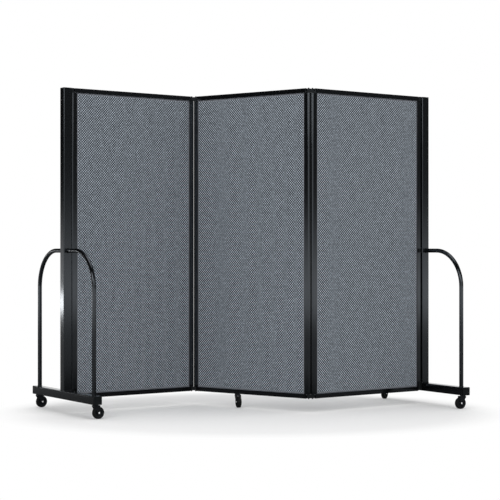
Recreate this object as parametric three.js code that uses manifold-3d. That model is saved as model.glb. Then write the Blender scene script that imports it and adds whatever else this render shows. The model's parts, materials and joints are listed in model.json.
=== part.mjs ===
import * as THREE from 'three';
import { mergeVertices } from 'three/addons/utils/BufferGeometryUtils.js';
import Module from 'manifold-3d';

const wasm = await Module();
wasm.setup();

// A three-panel folding ward screen on casters, in millimetres, +Z up.
// Each panel is drawn from its left pin axis: x along the panel, y towards the back, z up from the floor.

// Overall sizes
const overallHeight = 1650;
const undersideHeight = 71;
const pinToPin = 715;
const foldAngle = THREE.MathUtils.degToRad(34.5);
const fitGap = 0.3;
const cutOverrun = 5;

// Panel frame and board
const panelThickness = 21;
const railHeight = 23;
const stileFace = 20.3;
const grooveDepth = 8;
const boardThickness = 14;

// Double-pin hinges between the panels
const pinSpacing = 22;
const rodRadius = 4;
const linkRecess = 2.5;
const rodEndProud = 2.5;
const hingeGap = 1;
const rightLinkTurn = THREE.MathUtils.degToRad(20);

// Hinges between the outer panels and the end posts
const endHingeGap = 1;
const bottomBracketRecess = 3;
const bottomBracketHeight = 47;
const middleBracketHeight = 20;

// End frames
const postWidth = 46;
const postDepth = 43;
const postProud = 6;
const beamHeight = 42;
const beamLength = 678;
const tubeWall = 2.5;
const tubeCorner = 4;
const capPlate = 3;
const capPlugDepth = 12;
const hoopTubeRadius = 11;
const hoopTopHeight = 824;
const hoopBendRadius = 190;
const hoopLegInset = 40;

// Casters
const treadRadius = 30;
const wheelWidth = 18;
const treadFlat = 10;
const shoulderDrop = 2.5;
const rimRadius = 22;
const webThickness = 9;
const hubRadius = 8;
const hubInset = 1;
const axleRadius = 3;
const axleHeadRadius = 4.6;
const axleHeadHeight = 1.6;
const casterTrail = 16;
const casterInset = 28;
const middleCasterPlace = 274;
const wheelSideGap = 1;
const wheelTopGap = 1.5;
const cheekThickness = 2.7;
const cheekEndRadius = 8;
const cheekEndStart = 1.1 * Math.PI;
const cheekEndFinish = 1.95 * Math.PI;
const forkNose = 12;
const forkHeel = 23;
const forkSkirt = 6;
const crownRadius = 15;
const crownHeight = 4;
const crownChamfer = 1.2;
const stemRadius = 5;
const stemLength = 12;

// Directions in which the wheels trail from their stems, in degrees from +X
const trailHeadings = { nearLeft: 33, farLeft: 38, middle: -72, nearRight: 207, farRight: 240 };

// Facet counts
const curveSegments = 6;
const roundSegments = 2 * curveSegments;
const cornerSegments = 2;
const wheelSegments = 24;
const hoopSegments = 48;

// Derived sizes
const panelHalf = panelThickness / 2;
const grooveHalf = boardThickness / 2 + fitGap;
const hingeReach = panelHalf + hingeGap;
const stileBottom = undersideHeight + railHeight + fitGap;
const stileTop = overallHeight - railHeight - fitGap;
const linkHeight = railHeight - linkRecess - hingeGap;
const linkBottom = undersideHeight + linkRecess;
const topLinkBottom = overallHeight - linkRecess - linkHeight;
const bottomBracketBottom = undersideHeight + bottomBracketRecess;
const bottomBracketTop = bottomBracketBottom + bottomBracketHeight;
const middleBracketBottom = hoopTopHeight - middleBracketHeight / 2;
const postInset = panelHalf + endHingeGap;
const postCentre = postInset + postWidth / 2;
const postBack = postDepth / 2 - panelHalf - postProud;
const beamTop = undersideHeight + beamHeight;
const hoopLegPlace = beamLength / 2 - hoopLegInset;
const casterPlace = beamLength / 2 - casterInset;
const slotWidth = wheelWidth + 2 * wheelSideGap;
const forkWidth = slotWidth + 2 * cheekThickness;
const crownTop = undersideHeight - fitGap;
const forkTop = crownTop - crownHeight;
const slotTop = 2 * treadRadius + wheelTopGap;

// A polygon drawn round a circle of this radius has its corners at the returned radius.
const around = (radius, segments = roundSegments) => radius / Math.cos(Math.PI / segments);
const boreRadius = (shaftRadius) => around(shaftRadius + fitGap);

const coat = (color, roughness, metalness) => () =>
  new THREE.MeshStandardMaterial({ color, roughness, metalness });
const finishes = {
  frame: coat('#1c1d1f', 0.42, 0.3),
  tube: coat('#202123', 0.4, 0.35),
  moulding: coat('#1a1b1d', 0.55, 0),
  rod: coat('#2a2b2d', 0.35, 0.7),
  fabric: coat('#6e727b', 0.95, 0),
  axle: coat('#c9cacb', 0.3, 0.9),
  wheel: coat('#2a2c2d', 0.6, 0),
};

function solidOf(geometry) {
  const bare = geometry.clone();
  bare.deleteAttribute('normal');
  bare.deleteAttribute('uv');
  const merged = mergeVertices(bare);
  const vertProperties = new Float32Array(merged.attributes.position.array);
  const triVerts = new Uint32Array(merged.index.array);
  return new wasm.Manifold(new wasm.Mesh({ numProp: 3, vertProperties, triVerts }));
}

function geometryOf(solid) {
  const { vertProperties, triVerts } = solid.getMesh();
  const geometry = new THREE.BufferGeometry();
  geometry.setAttribute('position', new THREE.BufferAttribute(vertProperties, 3));
  geometry.setIndex(new THREE.BufferAttribute(triVerts, 1));
  geometry.computeVertexNormals();
  return geometry;
}

const cut = (body, ...tools) =>
  geometryOf(tools.reduce((rest, tool) => rest.subtract(solidOf(tool)), solidOf(body)));
const join = (...pieces) =>
  geometryOf(pieces.map(solidOf).reduce((whole, piece) => whole.add(piece)));

function addPart(group, name, geometry, finish) {
  const mesh = new THREE.Mesh(geometry, finishes[finish]());
  mesh.name = name;
  group.add(mesh);
}

// A prism of the shape between two heights.
function upright(shape, bottom, top, segments = curveSegments) {
  const options = { depth: top - bottom, bevelEnabled: false, curveSegments: segments };
  return new THREE.ExtrudeGeometry(shape, options).translate(0, 0, bottom);
}

// A cylinder along z between two heights.
function cylinder(radius, bottom, top) {
  const geometry = new THREE.CylinderGeometry(radius, radius, top - bottom, roundSegments);
  return geometry.rotateX(Math.PI / 2).translate(0, 0, (bottom + top) / 2);
}

function block(x, y, z) {
  const size = [x, y, z].map(([low, high]) => high - low);
  const middle = [x, y, z].map(([low, high]) => (low + high) / 2);
  return new THREE.BoxGeometry(...size).translate(...middle);
}

function circleHole(x, radius) {
  return new THREE.Path().absarc(x, 0, radius, 0, 2 * Math.PI, true);
}

function roundedRectangle(width, height, radius) {
  const x = width / 2 - radius;
  const y = height / 2 - radius;
  const shape = new THREE.Shape();
  shape.absarc(x, y, radius, 0, Math.PI / 2, false);
  shape.absarc(-x, y, radius, Math.PI / 2, Math.PI, false);
  shape.absarc(-x, -y, radius, Math.PI, 1.5 * Math.PI, false);
  shape.absarc(x, -y, radius, 1.5 * Math.PI, 2 * Math.PI, false);
  return shape;
}

function squareTube(width, height, length) {
  const section = roundedRectangle(width, height, tubeCorner);
  const inside = roundedRectangle(width - 2 * tubeWall, height - 2 * tubeWall, tubeCorner - tubeWall);
  section.holes.push(new THREE.Path(inside.getPoints(1).reverse()));
  return upright(section, 0, length, cornerSegments);
}

// A square tube's end cap: plate from z = 0 upwards, plug below it.
function tubeCap(width, height) {
  const shrink = 2 * (tubeWall + fitGap);
  const plate = roundedRectangle(width, height, tubeCorner);
  const plug = roundedRectangle(width - shrink, height - shrink, tubeCorner - tubeWall);
  return join(
    upright(plate, 0, capPlate, cornerSegments),
    upright(plug, -capPlugDepth, capPlate / 2, 1),
  );
}

// Panels

function stileShape() {
  const shape = new THREE.Shape();
  shape.absarc(0, 0, panelHalf, Math.PI / 2, 1.5 * Math.PI, false);
  shape.lineTo(stileFace, -panelHalf);
  shape.lineTo(stileFace, -grooveHalf);
  shape.lineTo(stileFace - grooveDepth, -grooveHalf);
  shape.lineTo(stileFace - grooveDepth, grooveHalf);
  shape.lineTo(stileFace, grooveHalf);
  shape.lineTo(stileFace, panelHalf);
  shape.holes.push(circleHole(0, boreRadius(rodRadius)));
  return shape;
}

const hingePocket = (bottom, top) =>
  block([-panelHalf - cutOverrun, hingeReach], [-panelThickness, panelThickness], [bottom, top]);

// The stile's round edge turns on the rod. Beside an end post it is cut away for the brackets.
function stile(besidePost) {
  const body = upright(stileShape(), stileBottom, stileTop);
  if (!besidePost) {
    return body;
  }
  const middleTop = middleBracketBottom + middleBracketHeight;
  return cut(
    body,
    hingePocket(stileBottom - cutOverrun, bottomBracketTop + hingeGap),
    hingePocket(middleBracketBottom - hingeGap, middleTop + hingeGap),
  );
}

function railShape() {
  const shape = new THREE.Shape();
  shape.moveTo(-panelHalf, 0);
  shape.lineTo(panelHalf, 0);
  shape.lineTo(panelHalf, railHeight);
  shape.lineTo(grooveHalf, railHeight);
  shape.lineTo(grooveHalf, railHeight - grooveDepth);
  shape.lineTo(-grooveHalf, railHeight - grooveDepth);
  shape.lineTo(-grooveHalf, railHeight);
  shape.lineTo(-panelHalf, railHeight);
  return shape;
}

// A rail along x with its groove facing up, standing on z = 0.
function rail() {
  const length = pinToPin - 2 * hingeReach;
  const geometry = upright(railShape(), 0, length);
  const turn = new THREE.Matrix4().makeBasis(
    new THREE.Vector3(0, 1, 0),
    new THREE.Vector3(0, 0, 1),
    new THREE.Vector3(1, 0, 0),
  );
  return geometry.applyMatrix4(turn).translate(hingeReach, 0, 0);
}

function bottomRail(withCaster) {
  const body = rail().translate(0, 0, undersideHeight);
  if (!withCaster) {
    return body;
  }
  const bore = cylinder(boreRadius(stemRadius), undersideHeight - cutOverrun, crownTop + stemLength + fitGap);
  return cut(body, bore.translate(middleCasterPlace, 0, 0));
}

const topRail = () => rail().rotateX(Math.PI).translate(0, 0, overallHeight);

function board() {
  const edge = stileFace - grooveDepth + fitGap;
  const inset = railHeight - grooveDepth + fitGap;
  return block(
    [edge, pinToPin - edge],
    [-boardThickness / 2, boardThickness / 2],
    [undersideHeight + inset, overallHeight - inset],
  );
}

function makePanel(name, { postLeft = false, postRight = false, withCaster = false }) {
  const panel = new THREE.Group();
  addPart(panel, `${name}_bottom_rail`, bottomRail(withCaster), 'frame');
  addPart(panel, `${name}_top_rail`, topRail(), 'frame');
  addPart(panel, `${name}_left_stile`, stile(postLeft), 'frame');
  const right = stile(postRight).rotateZ(Math.PI).translate(pinToPin, 0, 0);
  addPart(panel, `${name}_right_stile`, right, 'frame');
  addPart(panel, `${name}_fabric_board`, board(), 'fabric');
  return panel;
}

// Hinges

function linkShape() {
  const shape = new THREE.Shape();
  shape.absarc(-pinSpacing / 2, 0, panelHalf, Math.PI / 2, 1.5 * Math.PI, false);
  shape.absarc(pinSpacing / 2, 0, panelHalf, -Math.PI / 2, Math.PI / 2, false);
  for (const side of [-1, 1]) {
    shape.holes.push(circleHole((side * pinSpacing) / 2, boreRadius(rodRadius)));
  }
  return shape;
}

// Two link blocks tied by two full-height rods, centred on the hinge.
function makeHinge(name) {
  const hinge = new THREE.Group();
  addPart(hinge, `${name}_bottom_link`, upright(linkShape(), linkBottom, linkBottom + linkHeight), 'moulding');
  addPart(hinge, `${name}_top_link`, upright(linkShape(), topLinkBottom, topLinkBottom + linkHeight), 'moulding');
  for (const [place, side] of [['left', -1], ['right', 1]]) {
    const rod = cylinder(rodRadius, undersideHeight - rodEndProud, overallHeight + rodEndProud);
    rod.translate((side * pinSpacing) / 2, 0, 0);
    addPart(hinge, `${name}_${place}_rod`, rod, 'rod');
  }
  return hinge;
}

// A knuckle round the rod with an arm to the post's face at +x.
function bracketShape() {
  const shape = new THREE.Shape();
  shape.absarc(0, 0, panelHalf, Math.PI / 2, 1.5 * Math.PI, false);
  shape.lineTo(postInset - fitGap, -panelHalf);
  shape.lineTo(postInset - fitGap, panelHalf);
  shape.holes.push(circleHole(0, boreRadius(rodRadius)));
  return shape;
}

function addEndHinge(group, name, side) {
  const turn = side > 0 ? 0 : Math.PI;
  const levels = {
    bottom: [bottomBracketBottom, bottomBracketTop],
    middle: [middleBracketBottom, middleBracketBottom + middleBracketHeight],
    top: [topLinkBottom, overallHeight],
  };
  for (const [level, [bottom, top]] of Object.entries(levels)) {
    const bracket = upright(bracketShape(), bottom, top).rotateZ(turn);
    addPart(group, `${name}_${level}_hinge_bracket`, bracket, 'moulding');
  }
  const rod = cylinder(rodRadius, bottomBracketBottom, overallHeight);
  addPart(group, `${name}_hinge_rod`, rod, 'rod');
}

// End frames

function uprightPost() {
  const bottom = beamTop + fitGap;
  const top = overallHeight - capPlate - fitGap;
  const body = squareTube(postWidth, postDepth, top - bottom).translate(0, 0, bottom);
  const reach = postDepth / 2 + cutOverrun;
  const hole = cylinder(boreRadius(hoopTubeRadius), -reach, reach).rotateX(Math.PI / 2);
  return cut(body, hole.translate(0, 0, hoopTopHeight));
}

const postCap = () => tubeCap(postWidth, postDepth).translate(0, 0, overallHeight - capPlate);

// The base beam lies along y under the post, bored through its lower wall for the caster stems.
function baseBeam() {
  const length = beamLength - 2 * (capPlate + fitGap);
  const body = squareTube(postWidth, beamHeight, length).translate(0, 0, -length / 2);
  body.rotateX(Math.PI / 2).translate(0, 0, undersideHeight + beamHeight / 2);
  const bores = [-1, 1].map((side) =>
    cylinder(boreRadius(stemRadius), undersideHeight - cutOverrun, undersideHeight + tubeWall + cutOverrun)
      .translate(0, side * casterPlace, 0));
  return cut(body, ...bores);
}

function beamCap(side) {
  const cap = tubeCap(postWidth, beamHeight).rotateX((-side * Math.PI) / 2);
  return cap.translate(0, side * (beamLength / 2 - capPlate), undersideHeight + beamHeight / 2);
}

class BendCurve extends THREE.Curve {
  constructor(centre, start, end) {
    super();
    Object.assign(this, { centre, start, end });
  }

  getPoint(share, target = new THREE.Vector3()) {
    const angle = this.start + (this.end - this.start) * share;
    const y = this.centre.y + hoopBendRadius * Math.cos(angle);
    return target.set(0, y, this.centre.z + hoopBendRadius * Math.sin(angle));
  }
}

// The hoop's centre line: up one leg, round two bends and down the other leg.
function hoopPath() {
  const foot = beamTop + fitGap;
  const spring = hoopTopHeight - hoopBendRadius;
  const bend = hoopLegPlace - hoopBendRadius;
  const at = (y, z) => new THREE.Vector3(0, y, z);
  const path = new THREE.CurvePath();
  path.add(new THREE.LineCurve3(at(hoopLegPlace, foot), at(hoopLegPlace, spring)));
  path.add(new BendCurve(at(bend, spring), 0, Math.PI / 2));
  path.add(new THREE.LineCurve3(at(bend, hoopTopHeight), at(-bend, hoopTopHeight)));
  path.add(new BendCurve(at(-bend, spring), Math.PI / 2, Math.PI));
  path.add(new THREE.LineCurve3(at(-hoopLegPlace, spring), at(-hoopLegPlace, foot)));
  return path;
}

function hoop() {
  const section = new THREE.Shape().absarc(0, 0, hoopTubeRadius, 0, 2 * Math.PI, false);
  return new THREE.ExtrudeGeometry(section, {
    steps: hoopSegments,
    extrudePath: hoopPath(),
    curveSegments,
    bevelEnabled: false,
  });
}

function makeEndFrame(name, side, headings) {
  const frame = new THREE.Group();
  addEndHinge(frame, name, side);
  const base = new THREE.Group();
  base.position.set(side * postCentre, postBack, 0);
  frame.add(base);
  addPart(base, `${name}_post`, uprightPost(), 'tube');
  addPart(base, `${name}_post_cap`, postCap(), 'moulding');
  addPart(base, `${name}_base_beam`, baseBeam(), 'tube');
  addPart(base, `${name}_front_beam_cap`, beamCap(-1), 'moulding');
  addPart(base, `${name}_rear_beam_cap`, beamCap(1), 'moulding');
  addPart(base, `${name}_hoop`, hoop(), 'tube');
  const casters = { front: -1, rear: 1 };
  for (const [place, end] of Object.entries(casters)) {
    const caster = makeCaster(`${name}_${place}_caster`, headings[place]);
    caster.position.y = end * casterPlace;
    base.add(caster);
  }
  return frame;
}

// Casters: stem axis on x = 0, floor at z = 0, wheel trailing towards +x with its axle along y.

function cheekShape() {
  const shape = new THREE.Shape();
  shape.moveTo(forkHeel, forkTop - forkSkirt);
  shape.lineTo(forkHeel, forkTop);
  shape.lineTo(-forkNose, forkTop);
  shape.lineTo(-forkNose, forkTop - forkSkirt);
  shape.absarc(casterTrail, treadRadius, cheekEndRadius, cheekEndStart, cheekEndFinish, false);
  return shape;
}

function crown() {
  const outline = [
    [0, forkTop - cheekThickness / 2],
    [crownRadius - crownChamfer, forkTop - cheekThickness / 2],
    [crownRadius, forkTop],
    [crownRadius, crownTop - crownChamfer],
    [crownRadius - crownChamfer, crownTop],
    [stemRadius, crownTop],
    [stemRadius, crownTop + stemLength - crownChamfer],
    [stemRadius - crownChamfer, crownTop + stemLength],
    [0, crownTop + stemLength],
  ];
  const points = outline.map(([x, y]) => new THREE.Vector2(x, y));
  return new THREE.LatheGeometry(points, roundSegments).rotateX(Math.PI / 2);
}

function fork() {
  const cheeks = upright(cheekShape(), -forkWidth / 2, forkWidth / 2).rotateX(Math.PI / 2);
  const slot = block(
    [-forkNose - cutOverrun, forkHeel + cutOverrun],
    [-slotWidth / 2, slotWidth / 2],
    [-cutOverrun, slotTop],
  );
  const reach = forkWidth / 2 + cutOverrun;
  const hole = cylinder(boreRadius(axleRadius), -reach, reach).rotateX(Math.PI / 2);
  return join(cut(cheeks, slot, hole.translate(casterTrail, 0, treadRadius)), crown());
}

function axle() {
  const seat = forkWidth / 2 + fitGap;
  const tip = seat + axleHeadHeight;
  const outline = [
    [0, -tip],
    [axleHeadRadius, -tip],
    [axleHeadRadius, -seat],
    [axleRadius, -seat],
    [axleRadius, seat],
    [axleHeadRadius, seat],
    [axleHeadRadius, tip],
    [0, tip],
  ];
  const points = outline.map(([x, y]) => new THREE.Vector2(x, y));
  return new THREE.LatheGeometry(points, roundSegments);
}

function wheel() {
  const half = wheelWidth / 2;
  const tread = around(treadRadius, wheelSegments);
  const side = [
    [boreRadius(axleRadius), half - hubInset],
    [hubRadius, half - hubInset],
    [hubRadius, webThickness / 2],
    [rimRadius, webThickness / 2],
    [rimRadius, half],
    [tread - shoulderDrop, half],
    [tread, treadFlat / 2],
  ];
  const near = side.map(([r, y]) => new THREE.Vector2(r, -y));
  const far = side.toReversed().map(([r, y]) => new THREE.Vector2(r, y));
  return new THREE.LatheGeometry([...near, ...far, near[0]], wheelSegments, Math.PI / wheelSegments);
}

function makeCaster(name, heading) {
  const caster = new THREE.Group();
  caster.rotation.z = heading;
  addPart(caster, `${name}_fork`, fork(), 'frame');
  addPart(caster, `${name}_axle`, axle().translate(casterTrail, 0, treadRadius), 'axle');
  addPart(caster, `${name}_wheel`, wheel().translate(casterTrail, 0, treadRadius), 'wheel');
  return caster;
}

// Assembly: the middle panel runs from back left to front right, the outer two from front left to back right.

const along = (angle, length) => new THREE.Vector3(Math.cos(angle), Math.sin(angle), 0).multiplyScalar(length);
const leftLink = along(0, pinSpacing);
const rightLink = along(rightLinkTurn, pinSpacing);
const middleLeftPin = along(-foldAngle, -pinToPin / 2);
const middleRightPin = along(-foldAngle, pinToPin / 2);
const leftPanelPin = middleLeftPin.clone().sub(leftLink).sub(along(foldAngle, pinToPin));
const rightPanelPin = middleRightPin.clone().add(rightLink);
const rightEndPin = rightPanelPin.clone().add(along(foldAngle, pinToPin));

const screen = new THREE.Group();

function place(piece, position, angle) {
  piece.position.copy(position);
  piece.rotation.z = angle;
  screen.add(piece);
}

const heading = (degrees, angle) => THREE.MathUtils.degToRad(degrees) - angle;
const leftHeadings = {
  front: heading(trailHeadings.nearLeft, foldAngle),
  rear: heading(trailHeadings.farLeft, foldAngle),
};
const rightHeadings = {
  front: heading(trailHeadings.nearRight, foldAngle),
  rear: heading(trailHeadings.farRight, foldAngle),
};

const middlePanel = makePanel('middle_panel', { withCaster: true });
const middleCaster = makeCaster('middle_caster', heading(trailHeadings.middle, -foldAngle));
middleCaster.position.x = middleCasterPlace;
middlePanel.add(middleCaster);

place(makePanel('left_panel', { postLeft: true }), leftPanelPin, foldAngle);
place(middlePanel, middleLeftPin, -foldAngle);
place(makePanel('right_panel', { postRight: true }), rightPanelPin, foldAngle);
place(makeHinge('left_hinge'), middleLeftPin.clone().addScaledVector(leftLink, -0.5), 0);
place(makeHinge('right_hinge'), middleRightPin.clone().addScaledVector(rightLink, 0.5), rightLinkTurn);
place(makeEndFrame('left_end', -1, leftHeadings), leftPanelPin, foldAngle);
place(makeEndFrame('right_end', 1, rightHeadings), rightEndPin, foldAngle);

// The origin is on the floor under the middle of the screen's box.
const middle = new THREE.Box3().setFromObject(screen).getCenter(new THREE.Vector3());
screen.position.set(-middle.x, -middle.y, 0);

export default screen;
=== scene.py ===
import json
import math

import bmesh
import bpy
from mathutils import Matrix, Vector, noise


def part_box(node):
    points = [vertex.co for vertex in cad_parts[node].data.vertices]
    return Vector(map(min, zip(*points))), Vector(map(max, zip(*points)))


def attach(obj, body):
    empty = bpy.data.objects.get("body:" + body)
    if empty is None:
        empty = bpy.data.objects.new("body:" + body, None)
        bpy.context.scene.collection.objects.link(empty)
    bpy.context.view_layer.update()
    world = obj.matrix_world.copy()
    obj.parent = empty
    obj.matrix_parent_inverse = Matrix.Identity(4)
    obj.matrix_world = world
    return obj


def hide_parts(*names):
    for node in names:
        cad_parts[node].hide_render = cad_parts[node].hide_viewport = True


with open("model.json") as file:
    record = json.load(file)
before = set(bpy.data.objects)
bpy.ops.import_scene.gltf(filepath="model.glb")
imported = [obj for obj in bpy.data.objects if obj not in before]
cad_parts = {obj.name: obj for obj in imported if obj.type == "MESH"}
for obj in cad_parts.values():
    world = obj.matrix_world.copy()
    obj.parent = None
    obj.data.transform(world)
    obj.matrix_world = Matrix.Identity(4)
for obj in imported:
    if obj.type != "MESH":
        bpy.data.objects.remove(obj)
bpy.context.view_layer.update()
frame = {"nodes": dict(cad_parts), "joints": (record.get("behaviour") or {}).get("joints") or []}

# Three-panel folding ward screen on casters.
# Pieces are drawn in millimetres in their own frame: x along the panel, y to the back, z up from the floor.

pins = {joint["name"]: Vector(joint["pos_m"]) for joint in frame["joints"]}
halfTurn = Matrix.Rotation(math.pi, 4, "Z")
sharpAngle = math.radians(40)
fitGap = 0.3  # play between pieces that fit together


def placeAt(origin, towards):
    along = Vector((towards.x - origin.x, towards.y - origin.y, 0)).normalized()
    turn = Matrix((along, Vector((-along.y, along.x, 0)), Vector((0, 0, 1)))).transposed()
    return Matrix.Translation((origin.x, origin.y, 0)) @ turn.to_4x4()


def shift(x, y, z):
    return Matrix.Translation(Vector((x, y, z)) / 1000)


def between(first, second):
    return (pins[second] - pins[first]).length * 1000


def heights(node):
    low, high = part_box(node)
    return low.z * 1000, high.z * 1000


panelPlaces = {
    "left": placeAt(pins["left_end_pin"], pins["left_hinge_outer_pin"]),
    "middle": placeAt(pins["left_hinge_inner_pin"], pins["right_hinge_inner_pin"]),
    "right": placeAt(pins["right_hinge_outer_pin"], pins["right_end_pin"]),
}
pinToPin = between("left_hinge_inner_pin", "right_hinge_inner_pin")
panel = {
    "half": 10.5,
    "height": 1650,
    "underside": 71,
    "gap": 1.0,  # between neighbours that turn on one rod
    "stileFace": 20.3,
    "railHeight": 23,
}


# Finishes

def hexColour(code):
    parts = [int(code[i:i + 2], 16) / 255 for i in (1, 3, 5)]
    linear = [c / 12.92 if c <= 0.04045 else ((c + 0.055) / 1.055) ** 2.4 for c in parts]
    return (*linear, 1.0)


# Adds a node. Each input is a value, a socket to link, or a node whose first output is linked.
def addNode(tree, kind, inputs=None, **settings):
    node = tree.nodes.new("ShaderNode" + kind)
    for key, value in settings.items():
        setattr(node, key, value)
    for key, value in (inputs or {}).items():
        if isinstance(value, bpy.types.Node):
            value = value.outputs[0]
        if isinstance(value, bpy.types.NodeSocket):
            tree.links.new(value, node.inputs[key])
        else:
            node.inputs[key].default_value = value
    return node


def blankMaterial(name):
    material = bpy.data.materials.new(name)
    material.use_nodes = True
    tree = material.node_tree
    tree.nodes.clear()
    coords = addNode(tree, "TexCoord").outputs["Object"]
    return material, tree, coords


anodised = {
    "colour": "#050607",
    "worn": "#131416",
    "rubbed": (0.52, 0.62, 0.5),  # pointiness from, to, and the share of the worn tone there
    "roughness": (0.07, 0.12),
    "specular": 0.95,
    "glint": "#EBF5FF",  # the dye gives the shine a slight blue
    "lineSpacing": 1.6,  # die lines are about 0.2 mm apart, drawn coarser so that they show
    "lineLength": 400,
    "lineDepth": 0.1,
    "lineStrength": 0.12,
    "cloud": 1000 / 14,
    "tone": (0.85, 1.15),
}


def anodisedAluminium(name, lengthwise, turn=0.0):
    # Extruded, then anodised black: a dull satin with faint lines along the section
    look = anodised
    material, tree, coords = blankMaterial(name)
    across = 1000 / look["lineSpacing"]
    length = 1000 / look["lineLength"]
    scale = (length, across, across) if lengthwise == "x" else (across, across, length)
    turned = addNode(tree, "VectorRotate", {"Vector": coords, "Angle": -turn}, rotation_type="Z_AXIS")
    stretched = addNode(tree, "Mapping", {"Vector": turned, "Scale": scale})
    lines = addNode(tree, "TexNoise", {"Vector": stretched, "Scale": 1.0, "Detail": 2.0})
    cloud = addNode(tree, "TexNoise", {"Vector": coords, "Scale": 1000 / look["cloud"], "Detail": 3.0})
    edge = addNode(tree, "NewGeometry").outputs["Pointiness"]
    begin, whole, most = look["rubbed"]
    wear = addNode(tree, "MapRange", {"Value": edge, "From Min": begin, "From Max": whole, "To Max": most})
    faint, full = look["tone"]
    tone = addNode(tree, "MapRange", {"Value": cloud, "To Min": faint, "To Max": full})
    colours = {0: wear, 6: hexColour(look["colour"]), 7: hexColour(look["worn"])}
    colour = addNode(tree, "Mix", colours, data_type="RGBA").outputs[2]
    low, high = look["roughness"]
    surface = addNode(tree, "BsdfPrincipled", {
        "Base Color": addNode(tree, "VectorMath", {0: colour, 3: tone}, operation="SCALE"),
        "Roughness": addNode(tree, "MapRange", {"Value": lines, "To Min": low, "To Max": high}),
        "Normal": addNode(tree, "Bump", {
            "Height": lines, "Strength": look["lineStrength"], "Distance": look["lineDepth"] / 1000,
        }),
        "Specular IOR Level": look["specular"],
        "Specular Tint": hexColour(look["glint"]),
    })
    addNode(tree, "OutputMaterial", {"Surface": surface})
    return material


coat = {
    "rubbed": (0.52, 0.64, 0.6),  # pointiness from, to, and the share of the worn tone there
    "cloudRange": (0.3, 0.7),
}


def mottledMaterial(name, look):
    # A plain coat: grain bump, a little drift of tone, and lighter edges where it is rubbed
    material, tree, coords = blankMaterial(name)
    grain = addNode(tree, "TexNoise", {"Vector": coords, "Scale": 1000 / look["grain"], "Detail": 2.0})
    cloud = addNode(tree, "TexNoise", {"Vector": coords, "Scale": 1000 / look["cloud"], "Detail": 3.0})
    edge = addNode(tree, "NewGeometry").outputs["Pointiness"]
    begin, whole, most = coat["rubbed"]
    wear = addNode(tree, "MapRange", {"Value": edge, "From Min": begin, "From Max": whole, "To Max": most})
    faint, full = coat["cloudRange"]
    tone = addNode(tree, "MapRange", {
        "Value": cloud, "From Min": faint, "From Max": full,
        "To Min": 1 - look["drift"], "To Max": 1 + look["drift"],
    })
    colours = {0: wear, 6: hexColour(look["colour"]), 7: hexColour(look["worn"])}
    colour = addNode(tree, "Mix", colours, data_type="RGBA").outputs[2]
    low, high = look["roughness"]
    surface = addNode(tree, "BsdfPrincipled", {
        "Base Color": addNode(tree, "VectorMath", {0: colour, 3: tone}, operation="SCALE"),
        "Roughness": addNode(tree, "MapRange", {"Value": grain, "To Min": low, "To Max": high}),
        "Normal": addNode(tree, "Bump", {
            "Height": grain, "Strength": look["bump"], "Distance": look["grain"] / 4000,
        }),
        "Metallic": look["metallic"],
        "Specular IOR Level": look["specular"],
        "Specular Tint": hexColour(look["glint"]),
    })
    addNode(tree, "OutputMaterial", {"Surface": surface})
    return material


weave = {
    "light": "#D3DFEC",
    "dark": "#13161B",
    "cell": {"X": 6.75, "Z": 6.95},  # one basket square, drawn coarser than real yarn so that it shows
    "yarns": 4,  # in a square
    "rise": 0.6,
    "valley": 0.45,  # height of a yarn where it dives under the next square
    "bump": 0.5,
    "wander": 1.2,
    "wanderLength": 1000 / 9,
    "patch": 1000 / 130,
    "mixing": 0.4,  # most share of the other yarn that shows through a square
    "slub": (70, 9),  # thick places in single yarns, length and width
    "fibre": 0.4,
    "toneAndPaintedShadeRanges": {
        # dome and height are painted shade: darker towards each square's edges, and darker where a yarn
        # dives under
        "yarn": (0.7, 1.3), "square": (0.94, 1.06), "dome": (0.3, 1.0), "height": (0.6, 1.0),
        "alongSlub": (0.85, 1.15), "upSlub": (0.92, 1.08), "fibre": (0.85, 1.15),
    },
    "pulled": "#8F939B",
    "pulledBand": (5.0, 10.0),  # from the frame's lips inwards
    "pulledShare": 0.9,
    "roughness": 0.95,
    "specular": 0.2,
    "sheen": (0.15, 0.5),  # weight and roughness
}


def yarnCounts(tree, laid):
    # For yarns and for squares, both ways: which one this is, and an arch over its width
    split = addNode(tree, "SeparateXYZ", {0: laid})
    count = {}
    arch = {}
    for axis in ("X", "Z"):
        cell = weave["cell"][axis]
        for unit, size in (("yarn", cell / weave["yarns"]), ("cell", cell)):
            turns = addNode(tree, "Math", {0: split.outputs[axis], 1: size / 1000}, operation="DIVIDE")
            count[axis, unit] = addNode(tree, "Math", {0: turns}, operation="FLOOR")
            part = addNode(tree, "Math", {0: turns}, operation="FRACT")
            angle = addNode(tree, "Math", {0: part, 1: math.pi}, operation="MULTIPLY")
            arch[axis, unit] = addNode(tree, "Math", {0: angle}, operation="SINE")
    return count, arch


def pulledEdge(tree, coords):
    # Round the board's edge the cloth is pulled hard, so its squares run together in an even line
    where = addNode(tree, "SeparateXYZ", {0: coords})
    reach = []
    for axis, low, high, lip in (
        ("X", 0, pinToPin, panel["stileFace"]),
        ("Z", panel["underside"], panel["height"], panel["railHeight"]),
    ):
        middle = (low + high) / 2000
        half = ((high - low) / 2 - lip) / 1000
        offset = addNode(tree, "Math", {0: where.outputs[axis], 1: middle}, operation="SUBTRACT")
        away = addNode(tree, "Math", {0: offset}, operation="ABSOLUTE")
        reach.append(addNode(tree, "Math", {0: half, 1: away}, operation="SUBTRACT"))
    nearest = addNode(tree, "Math", {0: reach[0], 1: reach[1]}, operation="MINIMUM")
    near, far = weave["pulledBand"]
    return addNode(tree, "MapRange", {
        "Value": nearest, "From Min": near / 1000, "From Max": far / 1000,
        "To Min": weave["pulledShare"], "To Max": 0.0,
    })


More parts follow.
